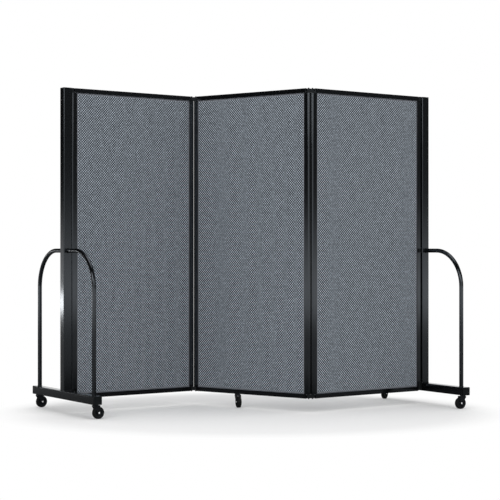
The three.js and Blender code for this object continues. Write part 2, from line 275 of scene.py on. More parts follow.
def hopsackFabric(name):
    # Woven hopsack in a light and a dark yarn, wrapped tightly over the board: small dry squares, with
    # painted shade where the squares meet and where a yarn dives under the next square
    material, tree, coords = blankMaterial(name)
    drift = addNode(tree, "TexNoise", {
        "Vector": coords, "Scale": 1000 / weave["wanderLength"], "Detail": 1.0,
    }).outputs["Color"]
    centred = addNode(tree, "VectorMath", {0: drift, 1: (0.5, 0.5, 0.5)}, operation="SUBTRACT")
    astray = addNode(tree, "VectorMath", {0: centred, 3: weave["wander"] / 1000}, operation="SCALE")
    laid = addNode(tree, "VectorMath", {0: coords, 1: astray}, operation="ADD")
    count, arch = yarnCounts(tree, laid)
    both = addNode(tree, "Math", {0: count["X", "cell"], 1: count["Z", "cell"]}, operation="ADD")
    weftOnTop = addNode(tree, "Math", {0: both, 1: 1.0}, operation="PINGPONG")
    rise = {}
    tone = {}
    for axis, other in (("X", "Z"), ("Z", "X")):
        swell = addNode(tree, "MapRange", {"Value": arch[other, "cell"], "To Min": weave["valley"]})
        rise[axis] = addNode(tree, "Math", {0: arch[axis, "yarn"], 1: swell}, operation="MULTIPLY")
        spot = addNode(tree, "CombineXYZ", {0: count[axis, "yarn"], 1: count[other, "cell"]})
        tone[axis] = addNode(tree, "TexWhiteNoise", {"Vector": spot}, noise_dimensions="2D")
    height = addNode(tree, "Mix", {0: weftOnTop, 2: rise["X"], 3: rise["Z"]}, data_type="FLOAT")
    yarnTone = addNode(tree, "Mix", {0: weftOnTop, 2: tone["X"], 3: tone["Z"]}, data_type="FLOAT")

    # The two yarns mix a little, more in some places than in others
    worked = addNode(tree, "TexNoise", {
        "Vector": coords, "Scale": 1000 / weave["patch"], "Detail": 1.0,
    })
    mixing = weave["mixing"]
    hidden = addNode(tree, "MapRange", {"Value": worked, "To Min": mixing, "To Max": -mixing})
    seen = addNode(tree, "Math", {0: 1.0, 1: hidden}, operation="SUBTRACT")
    darkShare = addNode(tree, "MapRange", {"Value": weftOnTop, "To Min": hidden, "To Max": seen})
    colour = addNode(tree, "Mix", {
        0: darkShare, 6: hexColour(weave["light"]), 7: hexColour(weave["dark"]),
    }, data_type="RGBA", clamp_factor=True).outputs[2]

    square = addNode(tree, "CombineXYZ", {0: count["X", "cell"], 1: count["Z", "cell"]})
    long, thick = (1000 / size for size in weave["slub"])
    along = addNode(tree, "Mapping", {"Vector": coords, "Scale": (long, 1.0, thick)})
    up = addNode(tree, "Mapping", {"Vector": coords, "Scale": (thick, 1.0, long)})
    # Random tones of yarn, square, slubs and fibre, and painted shade: dome darkens each square towards its
    # edges, height darkens each yarn towards its sides and where it dives under
    tonesAndPaintedShade = {
        "yarn": yarnTone,
        "square": addNode(tree, "TexWhiteNoise", {"Vector": square}, noise_dimensions="2D"),
        "dome": addNode(tree, "Math", {0: arch["X", "cell"], 1: arch["Z", "cell"]}, operation="MULTIPLY"),
        "height": height,
        "alongSlub": addNode(tree, "TexNoise", {"Vector": along, "Scale": 1.0, "Detail": 1.0}),
        "upSlub": addNode(tree, "TexNoise", {"Vector": up, "Scale": 1.0, "Detail": 1.0}),
        "fibre": addNode(tree, "TexNoise", {
            "Vector": coords, "Scale": 1000 / weave["fibre"], "Detail": 1.0,
        }),
    }
    for cause, shade in tonesAndPaintedShade.items():
        low, high = weave["toneAndPaintedShadeRanges"][cause]
        level = addNode(tree, "MapRange", {"Value": shade, "To Min": low, "To Max": high})
        colour = addNode(tree, "VectorMath", {0: colour, 3: level}, operation="SCALE")
    colour = addNode(tree, "Mix", {
        0: pulledEdge(tree, coords), 6: colour, 7: hexColour(weave["pulled"]),
    }, data_type="RGBA").outputs[2]
    surface = addNode(tree, "BsdfPrincipled", {
        "Base Color": colour,
        "Normal": addNode(tree, "Bump", {
            "Height": height, "Strength": weave["bump"], "Distance": weave["rise"] / 1000,
        }),
        "Roughness": weave["roughness"],
        "Specular IOR Level": weave["specular"],
        "Sheen Weight": weave["sheen"][0],
        "Sheen Roughness": weave["sheen"][1],
    })
    addNode(tree, "OutputMaterial", {"Surface": surface})
    return material


finishes = {
    "stileAluminium": anodisedAluminium("anodised_aluminium_stile", "z"),
    "powderCoat": mottledMaterial("powder_coated_steel", {
        # sprayed and baked: an even satin skin with a fine orange peel
        "colour": "#050607", "worn": "#141517", "grain": 1.4, "cloud": 90, "drift": 0.08,
        "roughness": (0.09, 0.14), "bump": 0.03, "metallic": 0.0, "specular": 0.95, "glint": "#EBF5FF",
    }),
    "housingCoat": mottledMaterial("dipped_steel_housing", {
        # pressed steel dipped in black coat: smoother and a little shinier than the nylon inside it
        "colour": "#121315", "worn": "#2A2C2F", "grain": 0.9, "cloud": 25, "drift": 0.1,
        "roughness": (0.2, 0.28), "bump": 0.06, "metallic": 0.0, "specular": 0.5, "glint": "#EBF5FF",
    }),
    "mouldedNylon": mottledMaterial("moulded_black_nylon", {
        # injection moulded in a spark-finished tool: fine dry grain
        "colour": "#141617", "worn": "#222425", "grain": 0.7, "cloud": 40, "drift": 0.06,
        "roughness": (0.4, 0.5), "bump": 0.12, "metallic": 0.0, "specular": 0.2, "glint": "#EBF5FF",
    }),
    "wheelNylon": mottledMaterial("moulded_wheel_core", {
        # glass-filled nylon, turned smooth by the mould
        "colour": "#141516", "worn": "#26282A", "grain": 0.6, "cloud": 18, "drift": 0.1,
        "roughness": (0.3, 0.4), "bump": 0.1, "metallic": 0.0, "specular": 0.45, "glint": "#EBF5FF",
    }),
    "tyreRubber": mottledMaterial("moulded_rubber_tyre", {
        # soft rubber: matt, greyer where floor dust sits in its skin
        "colour": "#0F1011", "worn": "#1C1D1E", "grain": 0.8, "cloud": 9, "drift": 0.2,
        "roughness": (0.62, 0.8), "bump": 0.3, "metallic": 0.0, "specular": 0.35, "glint": "#FFFFFF",
    }),
    "rodSteel": mottledMaterial("blackened_drawn_steel", {
        # cold drawn and chemically blackened: dark metal with bright rubbed ends
        "colour": "#2A2B2D", "worn": "#6E7073", "grain": 0.5, "cloud": 20, "drift": 0.15,
        "roughness": (0.3, 0.42), "bump": 0.08, "metallic": 0.8, "specular": 0.5, "glint": "#FFFFFF",
    }),
    "zincRivet": mottledMaterial("zinc_plated_rivet", {
        # zinc over a rolled head, cloudy: nearly white and mostly diffuse, partly the pale zinc and partly
        # a painted highlight that keeps the head bright from any side
        "colour": "#EDEEEF", "worn": "#F6F6F7", "grain": 0.4, "cloud": 3, "drift": 0.05,
        "roughness": (0.4, 0.55), "bump": 0.05, "metallic": 0.25, "specular": 0.5, "glint": "#FFFFFF",
    }),
    "fabric": hopsackFabric("woven_hopsack"),
}
print("finishes made")


# Shapes

def circle(radius, steps=32, centre=(0, 0)):
    turns = [2 * math.pi * i / steps for i in range(steps)]
    return [Vector((centre[0] + radius * math.cos(t), centre[1] + radius * math.sin(t))) for t in turns]


def arc(centre, radius, start, end, steps):
    turns = [math.radians(start + (end - start) * i / steps) for i in range(steps + 1)]
    return [Vector((centre[0] + radius * math.cos(t), centre[1] + radius * math.sin(t))) for t in turns]


def roundedRectangle(width, height, radius, steps=6):
    x = width / 2 - radius
    y = height / 2 - radius
    corners = (((x, y), 0), ((-x, y), 90), ((-x, -y), 180), ((x, -y), 270))
    return [point for centre, start in corners for point in arc(centre, radius, start, start + 90, steps)]


# An anticlockwise outline moved inwards, or outwards where the distance is negative
def inset(outline, distance):
    sharpest = 0.4  # keeps a sharp corner from running away
    moved = []
    for i, point in enumerate(outline):
        before = (point - outline[i - 1]).normalized()
        after = (outline[(i + 1) % len(outline)] - point).normalized()
        normal = Vector((-before.y - after.y, before.x + after.x)).normalized()
        lean = max(sharpest, normal.dot(Vector((-before.y, before.x))))
        moved.append(point + normal * distance / lean)
    return moved


# Skin over stacks of rings. The first stack is the outside, and any others are holes through it.
def solid(stacks, closed=False):
    bm = bmesh.new()
    ends = ([], [])
    for rings in stacks:
        rows = [[bm.verts.new(point) for point in ring] for ring in rings]
        pairs = list(zip(rows, rows[1:]))
        if closed:
            pairs.append((rows[-1], rows[0]))
        for lower, upper in pairs:
            for i in range(len(lower)):
                bm.faces.new((lower[i - 1], lower[i], upper[i], upper[i - 1]))
        for edges, row in zip(ends, (rows[0], rows[-1])):
            edges += [bm.edges.get((row[i - 1], row[i])) for i in range(len(row))]
    if not closed:
        for edges in ends:
            bmesh.ops.triangle_fill(bm, use_beauty=True, edges=edges)
    bmesh.ops.recalc_face_normals(bm, faces=bm.faces)
    return bm


# A length of section between two heights, its end edges broken by a small radius
def prism(outline, low, high, holes=(), edge=0.5):
    shoulder = 0.3 * edge
    levels = [
        (low, edge), (low + shoulder, shoulder), (low + edge, 0),
        (high - edge, 0), (high - shoulder, shoulder), (high, edge),
    ]
    loops = [(outline, 1)] + [(hole, -1) for hole in holes]
    return solid([
        [[(p.x, p.y, z) for p in inset(loop, side * cut)] for z, cut in levels]
        for loop, side in loops
    ])


# A turned shape round z from its (radius, height) profile
def turned(profile, steps=40, closed=False):
    return solid([[[(p.x, p.y, z) for p in circle(r, steps)] for r, z in profile]], closed)


# A rounded bead that follows an outline, as a weld or a grommet does
def bead(outline, size, rise):
    rings = []
    for point in circle(size, 12):
        rings.append([(p.x, p.y, rise * point.y) for p in inset(outline, -point.x)])
    return solid([rings], closed=True)


# An upright section laid along y
def laidDown(bm, height):
    bm.transform(Matrix.Translation((0, 0, height)) @ Matrix.Rotation(math.pi / 2, 4, "X"))
    return bm


def joined(*parts):
    whole = parts[0]
    for part in parts[1:]:
        mesh = bpy.data.meshes.new("joining")
        part.to_mesh(mesh)
        part.free()
        whole.from_mesh(mesh)
        bpy.data.meshes.remove(mesh)
    return whole


def toMesh(name, bm, material):
    bm.transform(Matrix.Scale(0.001, 4))
    mesh = bpy.data.meshes.new(name)
    bm.to_mesh(mesh)
    bm.free()
    mesh.materials.append(material)
    return mesh


# The mesh with cutters in millimetres taken out of it
def carve(mesh, *cutters):
    blank = bpy.data.objects.new("blank", mesh)
    bpy.context.collection.objects.link(blank)
    tools = []
    for cutter in cutters:
        tool = bpy.data.objects.new("cutter", toMesh("cutter", cutter, mesh.materials[0]))
        bpy.context.collection.objects.link(tool)
        tools.append(tool)
        cut = blank.modifiers.new("cut", "BOOLEAN")
        cut.object = tool
        cut.solver = "EXACT"
    carved = bpy.data.meshes.new_from_object(blank.evaluated_get(bpy.context.evaluated_depsgraph_get()))
    carved.name = mesh.name
    for spare in [blank, *tools]:
        bpy.data.objects.remove(spare)
    return carved


def addPiece(name, mesh, place, body, slot, *nodes):
    mesh.shade_smooth()
    mesh.set_sharp_from_angle(angle=sharpAngle)
    piece = bpy.data.objects.new(name, mesh)
    bpy.context.collection.objects.link(piece)
    piece.matrix_world = place
    even = piece.modifiers.new("even_shading", "WEIGHTED_NORMAL")
    even.keep_sharp = True
    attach(piece, body)
    if nodes:
        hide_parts(*nodes)
    return piece


# Panels

stile = {
    "grooveDepth": 8, "grooveHalf": 7.3, "bore": 4.4,
    "lip": 0.6,  # small radius beside the fabric
}


def stileOutline():
    half = panel["half"]
    face = panel["stileFace"]
    lip = stile["lip"]
    floor = face - stile["grooveDepth"]
    corners = [
        *arc((face - lip, -half + lip), lip, 270, 360, 3),
        Vector((face, -stile["grooveHalf"])),
        Vector((floor, -stile["grooveHalf"])),
        Vector((floor, stile["grooveHalf"])),
        Vector((face, stile["grooveHalf"])),
        *arc((face - lip, half - lip), lip, 0, 90, 3),
    ]
    return arc((0, 0), half, 90, 270, 28) + corners


def pocketCutter(low, high):
    # Open to the end post and to both sides of the stile
    clear = 30
    reach = panel["half"] + panel["gap"]
    outline = [Vector(p) for p in ((-clear, -clear), (reach, -clear), (reach, clear), (-clear, clear))]
    return prism(outline, low, high, edge=0.01)


def stileMesh(name, besidePost):
    low, high = heights("left_panel_left_stile")
    section = prism(stileOutline(), low, high, [circle(stile["bore"])])
    mesh = toMesh(name, section, finishes["stileAluminium"])
    if not besidePost:
        return mesh
    gap = panel["gap"]
    past = 20
    bottomTop = heights("left_end_bottom_hinge_bracket")[1]
    middleLow, middleHigh = heights("left_end_middle_hinge_bracket")
    bottomPocket = pocketCutter(low - past, bottomTop + gap)
    middlePocket = pocketCutter(middleLow - gap, middleHigh + gap)
    return carve(mesh, bottomPocket, middlePocket)


stileMeshes = {False: stileMesh("stile", False), True: stileMesh("stile_beside_post", True)}
edgePlaces = {"left": Matrix.Identity(4), "right": shift(pinToPin, 0, 0) @ halfTurn}
for side, place in panelPlaces.items():
    for edgeSide, own in edgePlaces.items():
        besidePost = side == edgeSide
        addPiece(f"{side}_panel_{edgeSide}_round_stile", stileMeshes[besidePost], place @ own,
                 f"{side}_panel", "frame_coat", f"{side}_panel_{edgeSide}_stile")

# The rails keep their solids, with the corners broken
railEdge = {"width": 0.7, "segments": 2, "merge": 0.01}
for side, place in panelPlaces.items():
    turn = place.to_euler().z
    material = anodisedAluminium(f"anodised_aluminium_{side}_rails", "x", turn)
    for level in ("bottom", "top"):
        rail = frame["nodes"][f"{side}_panel_{level}_rail"]
        rail.data.materials.clear()
        rail.data.materials.append(material)
        rail.modifiers.new("weld", "WELD").merge_threshold = railEdge["merge"] / 1000
        broken = rail.modifiers.new("broken_edges", "BEVEL")
        broken.width = railEdge["width"] / 1000
        broken.segments = railEdge["segments"]
        broken.limit_method = "ANGLE"
        broken.angle_limit = sharpAngle

screw = {
    "radius": 3.6, "rim": 0.5, "head": 1.4, "crown": 2.6, "crownDrop": 0.2,
    "socket": 1.5, "socketFloor": 0.4, "hole": 0.1, "fromPin": 19,
}
screwProfile = [
    (screw["hole"], screw["socketFloor"]), (screw["socket"], screw["socketFloor"]),
    (screw["socket"], screw["head"]), (screw["crown"], screw["head"] - screw["crownDrop"]),
    (screw["radius"], screw["rim"]), (screw["radius"], 0), (screw["hole"], 0),
]
screwMesh = toMesh("button_head_screw", turned(screwProfile, 24), finishes["rodSteel"])
for side, place in panelPlaces.items():
    for level, height, flip in (("top", panel["height"], 0), ("bottom", panel["underside"], math.pi)):
        for end, along in (("left", screw["fromPin"]), ("right", pinToPin - screw["fromPin"])):
            own = shift(along, 0, height) @ Matrix.Rotation(flip, 4, "X")
            addPiece(f"{side}_panel_{level}_{end}_screw", screwMesh, place @ own,
                     f"{side}_panel", "rod_steel")

# Fabric boards: flat in the grooves and slightly crowned by the padding between them
board = {
    "half": 7.0, "crown": 1.1, "ramp": 34, "step": 24, "ripple": 0.15, "rippleLength": 160,
    "edge": panel["stileFace"] - stile["grooveDepth"] + fitGap,
    "tuck": [  # reach past the lip, and how deep the cloth is pushed in there
        (-4.5, 0), (-2.5, 2.5), (-0.5, 6.2), (2.2, 6.4), (3.4, 5.4), (4.3, 2.2), (5.3, 0.5), (7.0, 0),
    ],
    "rampStations": [15, 24, 36],
}


def tucked(reach):
    for (near, deep), (far, shallow) in zip(board["tuck"], board["tuck"][1:]):
        if near <= reach < far:
            return deep + (shallow - deep) * (reach - near) / (far - near)
    return 0


def stations(low, high, lipLow, lipHigh):
    near = [distance for distance, depth in board["tuck"]] + board["rampStations"]
    inner = [lipLow + d for d in near]
    outer = [lipHigh - d for d in reversed(near)]
    count = round((outer[0] - inner[-1]) / board["step"])
    plain = [inner[-1] + (outer[0] - inner[-1]) * i / count for i in range(1, count)]
    return [low, *inner, *plain, *outer, high]


def rim(rows):
    right = [row[-1] for row in rows[1:-1]]
    left = [row[0] for row in rows[-2:0:-1]]
    return rows[0] + right + rows[-1][::-1] + left


def boardMesh(seed):
    low, high = heights("left_panel_fabric_board")
    left, right = panel["stileFace"], pinToPin - panel["stileFace"]
    bottom, top = panel["underside"] + panel["railHeight"], panel["height"] - panel["railHeight"]
    xs = stations(board["edge"], pinToPin - board["edge"], left, right)
    zs = stations(low, high, bottom, top)
    long = board["rippleLength"]
    bm = bmesh.new()
    faces = []
    for side in (-1, 1):
        rows = []
        for z in zs:
            row = []
            for x in xs:
                reach = min(x - left, right - x, z - bottom, top - z)
                share = math.sin(min(1, max(0, reach) / board["ramp"]) * math.pi / 2)
                ripple = board["ripple"] * noise.noise(Vector((x / long, z / long, seed + side)))
                thick = board["half"] + share * (board["crown"] + ripple) - tucked(reach)
                row.append(bm.verts.new((x, side * thick, z)))
            rows.append(row)
        faces.append(rows)
        for lower, upper in zip(rows, rows[1:]):
            for i in range(len(xs) - 1):
                bm.faces.new((lower[i], lower[i + 1], upper[i + 1], upper[i]))
    front, back = (rim(rows) for rows in faces)
    for i in range(len(front)):
        bm.faces.new((front[i - 1], front[i], back[i], back[i - 1]))
    bmesh.ops.recalc_face_normals(bm, faces=bm.faces)
    return toMesh("padded_board", bm, finishes["fabric"])


for seed, (side, place) in enumerate(panelPlaces.items()):
    addPiece(f"{side}_panel_wrapped_board", boardMesh(seed), place, f"{side}_panel", "fabric",
             f"{side}_panel_fabric_board")
print("panels made")


# Hinges

hinge = {"rod": 4.0, "dome": 0.9, "bore": 4.4, "linkEdge": 0.9}
rodTip = [(0.3, 0), (0.7, 0.15), (0.93, 0.5), (1, 1)]  # shares of the rod's radius and of its dome


def rodMesh(name, low, high):
    tip = [(hinge["rod"] * out, hinge["dome"] * up) for out, up in rodTip]
    profile = [(r, low + z) for r, z in tip] + [(r, high - z) for r, z in reversed(tip)]
    return toMesh(name, turned(profile, 28), finishes["rodSteel"])


linkPlaces = {
    "left": placeAt(pins["left_hinge_outer_pin"], pins["left_hinge_inner_pin"]),
    "right": placeAt(pins["right_hinge_inner_pin"], pins["right_hinge_outer_pin"]),
}
pinSpacing = between("left_hinge_outer_pin", "left_hinge_inner_pin")
roundEnd = arc((0, 0), panel["half"], 90, 270, 24)
linkOutline = roundEnd + arc((pinSpacing, 0), panel["half"], -90, 90, 24)
linkBores = [circle(hinge["bore"]), circle(hinge["bore"], centre=(pinSpacing, 0))]
hingeRod = rodMesh("hinge_rod", *heights("left_hinge_left_rod"))
for side, place in linkPlaces.items():
    body = f"{side}_hinge"
    for level in ("bottom", "top"):
        low, high = heights(f"{side}_hinge_{level}_link")
        link = prism(linkOutline, low, high, linkBores, hinge["linkEdge"])
        mesh = toMesh(f"{level}_link", link, finishes["mouldedNylon"])
        addPiece(f"{side}_hinge_{level}_link_block", mesh, place, body, "moulding",
                 f"{side}_hinge_{level}_link")
    for rodSide, along in (("left", 0), ("right", pinSpacing)):
        addPiece(f"{side}_hinge_{rodSide}_long_rod", hingeRod, place @ shift(along, 0, 0),
                 body, "rod_steel", f"{side}_hinge_{rodSide}_rod")

bracket = {"reach": 11.2, "corner": 0.8, "edge": 0.8}
bracketCorner = (bracket["reach"] - bracket["corner"], panel["half"] - bracket["corner"])
bracketOutline = [
    *roundEnd,
    *arc((bracketCorner[0], -bracketCorner[1]), bracket["corner"], 270, 360, 3),
    *arc(bracketCorner, bracket["corner"], 0, 90, 3),
]
endHingePlaces = {
    "left": panelPlaces["left"] @ halfTurn,
    "right": panelPlaces["right"] @ shift(pinToPin, 0, 0),
}
endRod = rodMesh("end_hinge_rod", *heights("left_end_hinge_rod"))
for side, place in endHingePlaces.items():
    body = f"{side}_end"
    for level in ("bottom", "middle", "top"):
        low, high = heights(f"{side}_end_{level}_hinge_bracket")
        knuckle = prism(bracketOutline, low, high, [circle(hinge["bore"])], bracket["edge"])
        mesh = toMesh(f"{level}_bracket", knuckle, finishes["mouldedNylon"])
        addPiece(f"{side}_end_{level}_knuckle", mesh, place, body, "moulding",
                 f"{side}_end_{level}_hinge_bracket")
    addPiece(f"{side}_end_long_rod", endRod, place, body, "rod_steel", f"{side}_end_hinge_rod")
print("hinges made")


# End frames

post = {"width": 46, "depth": 43, "proud": 6, "corner": 4, "wall": 2.5, "edge": 0.3}
beam = {
    "height": 42, "length": 678, "underside": 71, "casterInset": 28,
    "stemBore": 5.4, "boreReach": (-5, 6),  # from the underside
}
cap = {"plate": 3, "plug": 12, "edge": 1.0}
hoop = {"tube": 11, "legInset": 40, "bend": 190, "top": 824, "bore": 11.3, "steps": 28}
hoopWeld = {"gap": 0.2, "size": 1.7, "rise": 0.8}
postWeld = {"size": 0.8, "rise": 1.8}
weldLift = 0.8
grommet = {"gap": 0.6, "size": 1.4, "rise": 0.9, "proud": 0.5}

beamTop = beam["underside"] + beam["height"]
beamMiddle = beam["underside"] + beam["height"] / 2
legPlace = beam["length"] / 2 - hoop["legInset"]
capFace = beam["length"] / 2 - cap["plate"]
postCentre = panel["half"] + panel["gap"] + post["width"] / 2
postBack = post["depth"] / 2 - panel["half"] - post["proud"]
endPlaces = {
    "left": panelPlaces["left"] @ shift(-postCentre, postBack, 0),
    "right": panelPlaces["right"] @ shift(pinToPin + postCentre, postBack, 0),
}


def tubeSection(width, height):
    inside = (width - 2 * post["wall"], height - 2 * post["wall"], post["corner"] - post["wall"])
    return roundedRectangle(width, height, post["corner"]), [roundedRectangle(*inside)]


def postMesh():
    low, high = heights("left_end_post")
    outline, inside = tubeSection(post["width"], post["depth"])
    mesh = toMesh("square_post", prism(outline, low, high, inside, post["edge"]), finishes["powderCoat"])
    through = 40
    return carve(mesh, laidDown(prism(circle(hoop["bore"], 48), -through, through), hoop["top"]))


def beamMesh():
    half = capFace - fitGap
    outline, inside = tubeSection(post["width"], beam["height"])
    section = laidDown(prism(outline, -half, half, inside, post["edge"]), beamMiddle)
    mesh = toMesh("base_beam", section, finishes["powderCoat"])
    casterPlace = beam["length"] / 2 - beam["casterInset"]
    low, high = (beam["underside"] + reach for reach in beam["boreReach"])
    bores = []
    for side in (-1, 1):
        around = circle(beam["stemBore"], 32, (0, side * casterPlace))
        bores.append(prism(around, low, high))
    return carve(mesh, *bores)


def capMesh(name, width, height):
    plate = prism(roundedRectangle(width, height, post["corner"]), 0, cap["plate"], edge=cap["edge"])
    shrink = 2 * (post["wall"] + fitGap)
    inside = roundedRectangle(width - shrink, height - shrink, post["corner"] - post["wall"])
    plug = prism(inside, -cap["plug"], cap["plate"] / 2)
    return toMesh(name, joined(plate, plug), finishes["mouldedNylon"])


def hoopMesh():
    foot = heights("left_end_hoop")[0]
    spring = hoop["top"] - hoop["bend"]
    centre = legPlace - hoop["bend"]
    line = [(legPlace, foot, 90)]
    for middle, start in ((centre, 0), (-centre, 90)):
        for i in range(hoop["steps"] + 1):
            turn = start + 90 * i / hoop["steps"]
            y = middle + hoop["bend"] * math.cos(math.radians(turn))
            z = spring + hoop["bend"] * math.sin(math.radians(turn))
            line.append((y, z, turn + 90))
    line.append((-legPlace, foot, 270))
    rings = []
    for y, z, heading in line:
        lean = math.radians(heading)
        rings.append([
            (p.x, y - p.y * math.sin(lean), z + p.y * math.cos(lean)) for p in circle(hoop["tube"], 36)
        ])
    return toMesh("bent_hoop", solid([rings]), finishes["powderCoat"])


def beadMesh(name, outline, look, finish):
    return toMesh(name, bead(outline, look["size"], look["rise"]), finishes[finish])


postOutline = roundedRectangle(post["width"], post["depth"], post["corner"])
endMeshes = {
    "post": postMesh(),
    "beam": beamMesh(),
    "postCap": capMesh("post_cap", post["width"], post["depth"]),
    "beamCap": capMesh("beam_cap", post["width"], beam["height"]),
    "hoop": hoopMesh(),
    "hoopWeld": beadMesh("hoop_weld", circle(hoop["tube"] + hoopWeld["gap"]), hoopWeld, "powderCoat"),
    "postWeld": beadMesh("post_weld", postOutline, postWeld, "powderCoat"),
    "grommet": beadMesh("hoop_grommet", circle(hoop["tube"] + grommet["gap"]), grommet, "mouldedNylon"),
}
for side, place in endPlaces.items():
    body = f"{side}_end"
    addPiece(f"{side}_end_square_post", endMeshes["post"], place, body, "tube_coat", f"{side}_end_post")
    addPiece(f"{side}_end_beam_tube", endMeshes["beam"], place, body, "tube_coat", f"{side}_end_base_beam")
    addPiece(f"{side}_end_bent_hoop", endMeshes["hoop"], place, body, "tube_coat", f"{side}_end_hoop")
    onPost = place @ shift(0, 0, panel["height"] - cap["plate"])
    addPiece(f"{side}_end_post_plug_cap", endMeshes["postCap"], onPost, body, "moulding",
             f"{side}_end_post_cap")
    onBeam = place @ shift(0, 0, beamTop + weldLift)
    addPiece(f"{side}_end_post_weld", endMeshes["postWeld"], onBeam, body, "tube_coat")
    for end, sign in (("front", -1), ("rear", 1)):
        turnOut = Matrix.Rotation(-sign * math.pi / 2, 4, "X")
        beamEnd = place @ shift(0, sign * capFace, beamMiddle) @ turnOut
        addPiece(f"{side}_end_{end}_beam_plug_cap", endMeshes["beamCap"], beamEnd, body, "moulding",
                 f"{side}_end_{end}_beam_cap")
        legFoot = place @ shift(0, sign * legPlace, beamTop + weldLift)
        addPiece(f"{side}_end_{end}_hoop_weld", endMeshes["hoopWeld"], legFoot, body, "tube_coat")
        postSide = place @ shift(0, sign * (post["depth"] / 2 + grommet["proud"]), hoop["top"]) @ turnOut
        addPiece(f"{side}_end_{end}_grommet", endMeshes["grommet"], postSide, body, "moulding")
print("end frames made")


# Casters, from the swivel axis with the wheel trailing towards x

tyre = {"radius": 30, "inner": 22.5, "half": 9, "round": 3.2, "lip": 0.6}
core = {
    "rim": 22.6, "rimHalf": 8.6, "rimWall": 2.0, "rimLip": (2.6, 0.4),
    "web": 4.0, "hub": 8, "hubHalf": 8.0, "hubEdge": 0.6, "bore": 3.4,
    "hubRoot": ((1.2, 0.4), (1.8, 0)),  # out from the hub, and up from the web
    "dish": ((4.2, 0), (3.4, 0.6)),  # in from the rim, and up from the web
}
fork = {
    "trail": 16, "cheek": 2.7, "sideGap": 1, "topGap": 1.5, "nose": 12, "heel": 23, "skirt": 6,
    "corner": 3, "slotCorner": 2, "cheekEnd": 8, "cheekTurn": (198, 351), "edge": 0.7,
}
crown = {
    "height": 4, "radius": 15, "edge": 0.8, "cup": 14.2, "cupEdge": 0.6, "cupTop": 1.2,
    "neck": 13, "neckFrom": 1.5, "neckTo": 1.9, "plateFrom": 2.1,
    "stem": 5, "stemLength": 12, "stemEdge": 1,
    "hole": 0.5, "sunk": 1,
}
rivet = {"shank": 3, "head": 4.6, "rise": 1.6, "domeTurns": (0.0, 0.35, 0.7, 1.0, 1.25, 1.45)}

slotWidth = 2 * (tyre["half"] + fork["sideGap"])
forkWidth = slotWidth + 2 * fork["cheek"]
axleHeight = tyre["radius"]
slotTop = axleHeight + tyre["radius"] + fork["topGap"]
crownTop = panel["underside"] - fitGap
forkTop = crownTop - crown["height"]


def forkMesh():
    nose, heel, corner = fork["nose"], fork["heel"], fork["corner"]
    skirtLevel = forkTop - fork["skirt"]
    side = [
        *arc((heel - corner, forkTop - corner), corner, 0, 90, 6),
        *arc((-nose + corner, forkTop - corner), corner, 90, 180, 6),
        Vector((-nose, skirtLevel)),
        *arc((fork["trail"], axleHeight), fork["cheekEnd"], *fork["cheekTurn"], 20),
        Vector((heel, skirtLevel)),
    ]
    cheeks = laidDown(prism(side, -forkWidth / 2, forkWidth / 2, edge=fork["edge"]), 0)
    mesh = toMesh("caster_fork", cheeks, finishes["housingCoat"])
    below, past = 20, 60  # how far the cutters run out
    slotHeight = slotTop + below
    slot = prism(roundedRectangle(slotWidth, slotHeight, fork["slotCorner"]), -past, past)
    lengthwise = Matrix.Rotation(math.pi / 2, 4, "Y") @ Matrix.Rotation(math.pi / 2, 4, "Z")
    slot.transform(Matrix.Translation((0, 0, slotTop - slotHeight / 2)) @ lengthwise)
    bore = laidDown(prism(circle(core["bore"]), -below, below), axleHeight)
    bore.transform(Matrix.Translation((fork["trail"], 0, 0)))
    return carve(mesh, slot, bore)


def crownMesh():
    c = crown
    stemTop = crownTop + c["stemLength"]
    profile = [
        (c["hole"], forkTop - c["sunk"]), (c["cup"] - c["cupEdge"], forkTop - c["sunk"]),
        (c["cup"], forkTop - c["sunk"] + c["cupEdge"]), (c["cup"], forkTop + c["cupTop"]),
        (c["neck"], forkTop + c["neckFrom"]), (c["neck"], forkTop + c["neckTo"]),
        (c["radius"], forkTop + c["plateFrom"]), (c["radius"], crownTop - c["edge"]),
        (c["radius"] - c["edge"], crownTop), (c["stem"], crownTop),
        (c["stem"], stemTop - c["stemEdge"]), (c["stem"] - c["stemEdge"], stemTop), (c["hole"], stemTop),
    ]
    return toMesh("caster_crown", turned(profile), finishes["housingCoat"])


def mirrored(half):
    return half + [(r, -z) for r, z in reversed(half)]


def tyreMesh():
    inner, side, corner = tyre["inner"], -tyre["half"], tyre["round"]
    shoulder = arc((tyre["radius"] - corner, side + corner), corner, -90, 0, 7)
    half = [(inner, side + tyre["lip"]), (inner + tyre["lip"], side)] + [(p.x, p.y) for p in shoulder]
    return toMesh("tyre", turned(mirrored(half), 56, closed=True), finishes["tyreRubber"])


def coreMesh():
    c = core
    lip, drop = c["rimLip"]
    half = [
        (c["bore"], -c["hubHalf"]), (c["hub"] - c["hubEdge"], -c["hubHalf"]),
        (c["hub"], -c["hubHalf"] + c["hubEdge"]),
        *[(c["hub"] + out, -c["web"] - up) for out, up in c["hubRoot"]],
        *[(c["rim"] - into, -c["web"] - up) for into, up in c["dish"]],
        (c["rim"] - lip, -c["rimHalf"] + drop), (c["rim"] - c["rimWall"], -c["rimHalf"]),
        (c["rim"], -c["rimHalf"]),
    ]
    return toMesh("wheel_core", turned(mirrored(half), 56, closed=True), finishes["wheelNylon"])


def rivetMesh():
    seat = forkWidth / 2 + fitGap
    dome = [
        (rivet["head"] * math.cos(t), seat + rivet["rise"] * math.sin(t)) for t in rivet["domeTurns"]
    ]
    upper = [(rivet["shank"], seat)] + dome
    profile = [(r, -z) for r, z in reversed(upper)] + upper
    return toMesh("axle_rivet", turned(profile, 32), finishes["zincRivet"])


